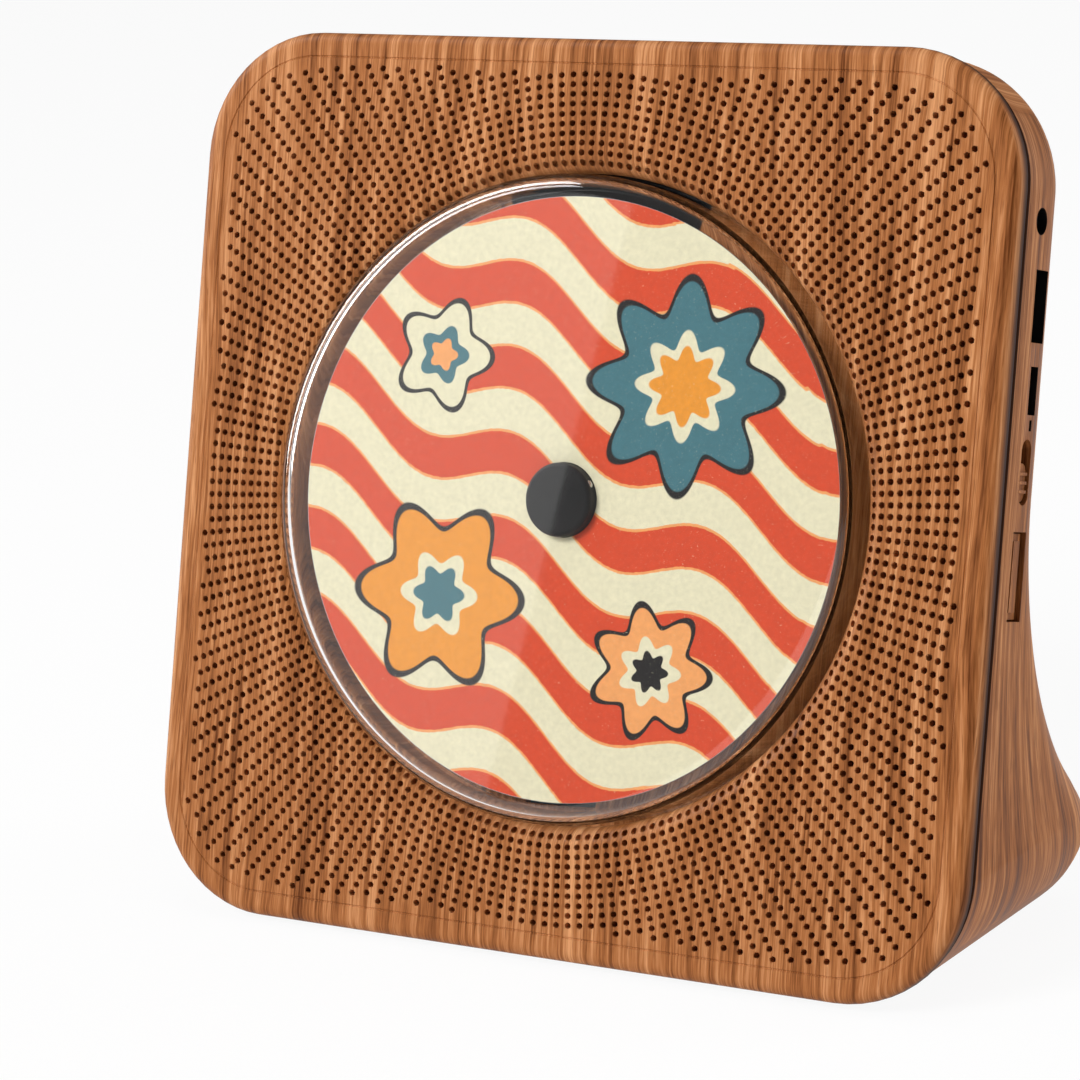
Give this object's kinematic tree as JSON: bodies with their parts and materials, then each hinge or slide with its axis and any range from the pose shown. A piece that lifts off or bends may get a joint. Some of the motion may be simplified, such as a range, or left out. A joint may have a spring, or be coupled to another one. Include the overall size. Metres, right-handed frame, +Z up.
{
  "type": "desktop cd player",
  "caption": "Square wood-grain desktop cd player that leans back on a flared foot, with a round clear cover over the disc, a perforated face and sockets on its side.",
  "frame": {"origin": "centre of the part's bounding box at the bottom of its rubber feet", "axes": "+Z up, the disc faces -Y and leans back, +X to the side with the sockets"},
  "size_m": [0.1834, 0.0785, 0.1776],
  "materials": {
    "wood_film": "satin wood-grain film on moulded plastic",
    "rubber": "matte",
    "black_plastic": "matte moulded",
    "key_plastic": "satin wood-grain film",
    "steel": "plated",
    "plated_steel": "plated sheet",
    "clear_plastic": "polished clear",
    "disc_label": "printed label over silver",
    "tinted_plastic": "dark tinted",
    "hub_plastic": "satin black",
    "circuit_board": "solder mask",
    "gear_plastic": "natural acetal",
    "cone_paper": "pressed paper",
    "grille_fabric": "woven",
    "cell_wrap": "shrink wrap",
    "lens_glass": "coated",
    "light_pipe": "frosted"
  },
  "bodies": {
    "body": {"aux_jack": "black_plastic", "battery_cell": "cell_wrap", "battery_cradle": "black_plastic", "board_screws": "steel", "case_screws": "steel", "charge_light": "light_pipe", "charge_socket": "plated_steel", "cradle_screws": "steel", "damper_grommets": "rubber", "disc_well": "black_plastic", "display_board": "circuit_board", "display_window": "tinted_plastic", "front_panel": "wood_film", "gear_axle": "steel", "grille_cloth": "grille_fabric", "guide_rods": "steel", "ir_receiver": "tinted_plastic", "key_switch": "black_plastic", "main_board": "circuit_board", "mech_chassis": "plated_steel", "mech_screws": "steel", "power_switch": "black_plastic", "rear_shell": "wood_film", "rubber_feet": "rubber", "sled_motor": "plated_steel", "speaker_frame_left": "black_plastic", "speaker_frame_right": "black_plastic", "speaker_magnet_left": "plated_steel", "speaker_magnet_right": "plated_steel", "speaker_screws": "steel", "speaker_surround_left": "rubber", "speaker_surround_right": "rubber", "spindle_motor": "plated_steel", "usb_socket": "plated_steel", "well_screws": "steel"},
    "cover": {"dust_cover": "clear_plastic"},
    "disc": {"compact_disc": "disc_label", "spindle_hub": "hub_plastic", "hub_balls": "steel", "spindle_shaft": "steel"},
    "sled": {"pickup_sled": "black_plastic", "sled_rack": "gear_plastic"},
    "lens": {"lens_holder": "black_plastic", "objective_lens": "lens_glass"},
    "gear": {"drive_gear": "gear_plastic"},
    "pinion": {"motor_pinion": "gear_plastic", "pinion_shaft": "steel"},
    "slider": {"power_slider": "key_plastic"},
    "key": {"rocker_key": "key_plastic"},
    "cone_left": {"speaker_cone_left": "cone_paper"},
    "cone_right": {"speaker_cone_right": "cone_paper"}
  },
  "joints": [
    {"name": "cover_lift", "type": "slide", "parent": "body", "child": "cover", "axis": [0, -0.9659, 0.2588], "range_m": [0, 0.04]},
    {"name": "disc_spin", "type": "hinge", "parent": "body", "child": "disc", "pos_m": [0, -0.01619, 0.09002], "axis": [0, -0.9659, 0.2588], "continuous": true},
    {"name": "sled_travel", "type": "slide", "parent": "body", "child": "sled", "axis": [0, -0.2588, -0.9659], "range_m": [0, 0.0325]},
    {"name": "lens_focus", "type": "slide", "parent": "sled", "child": "lens", "axis": [0, -0.9659, 0.2588], "range_m": [-0.0004, 0.0004], "stiffness_N_per_m": 40},
    {"name": "drive_gear_spin", "type": "hinge", "parent": "body", "child": "gear", "pos_m": [0.0296, -0.01236, 0.05794], "axis": [0, -0.9659, 0.2588], "range_deg": [-10, 528]},
    {"name": "motor_pinion_spin", "type": "hinge", "parent": "body", "child": "pinion", "pos_m": [0.0344, -0.01021, 0.06597], "axis": [0, -0.9659, 0.2588], "range_deg": [-1562, 10]},
    {"name": "power_slide", "type": "slide", "parent": "body", "child": "slider", "axis": [0, 0.2588, 0.9659], "range_m": [0, 0.004]},
    {"name": "rocker_tilt", "type": "hinge", "parent": "body", "child": "key", "pos_m": [0.0853, -0.00419, 0.07915], "axis": [0, -0.9659, 0.2588], "range_deg": [-4, 4], "stiffness_Nm_per_rad": 0.1},
    {"name": "cone_left_push", "type": "slide", "parent": "body", "child": "cone_left", "axis": [0, -0.9659, 0.2588], "range_m": [-0.0008, 0.0008], "stiffness_N_per_m": 800},
    {"name": "cone_right_push", "type": "slide", "parent": "body", "child": "cone_right", "axis": [0, -0.9659, 0.2588], "range_m": [-0.0008, 0.0008], "stiffness_N_per_m": 800}
  ],
  "couplings": [
    {"joint": "drive_gear_spin", "follows": "sled_travel", "rad_per_m": 277.78},
    {"joint": "motor_pinion_spin", "follows": "sled_travel", "rad_per_m": -833.33}
  ]
}
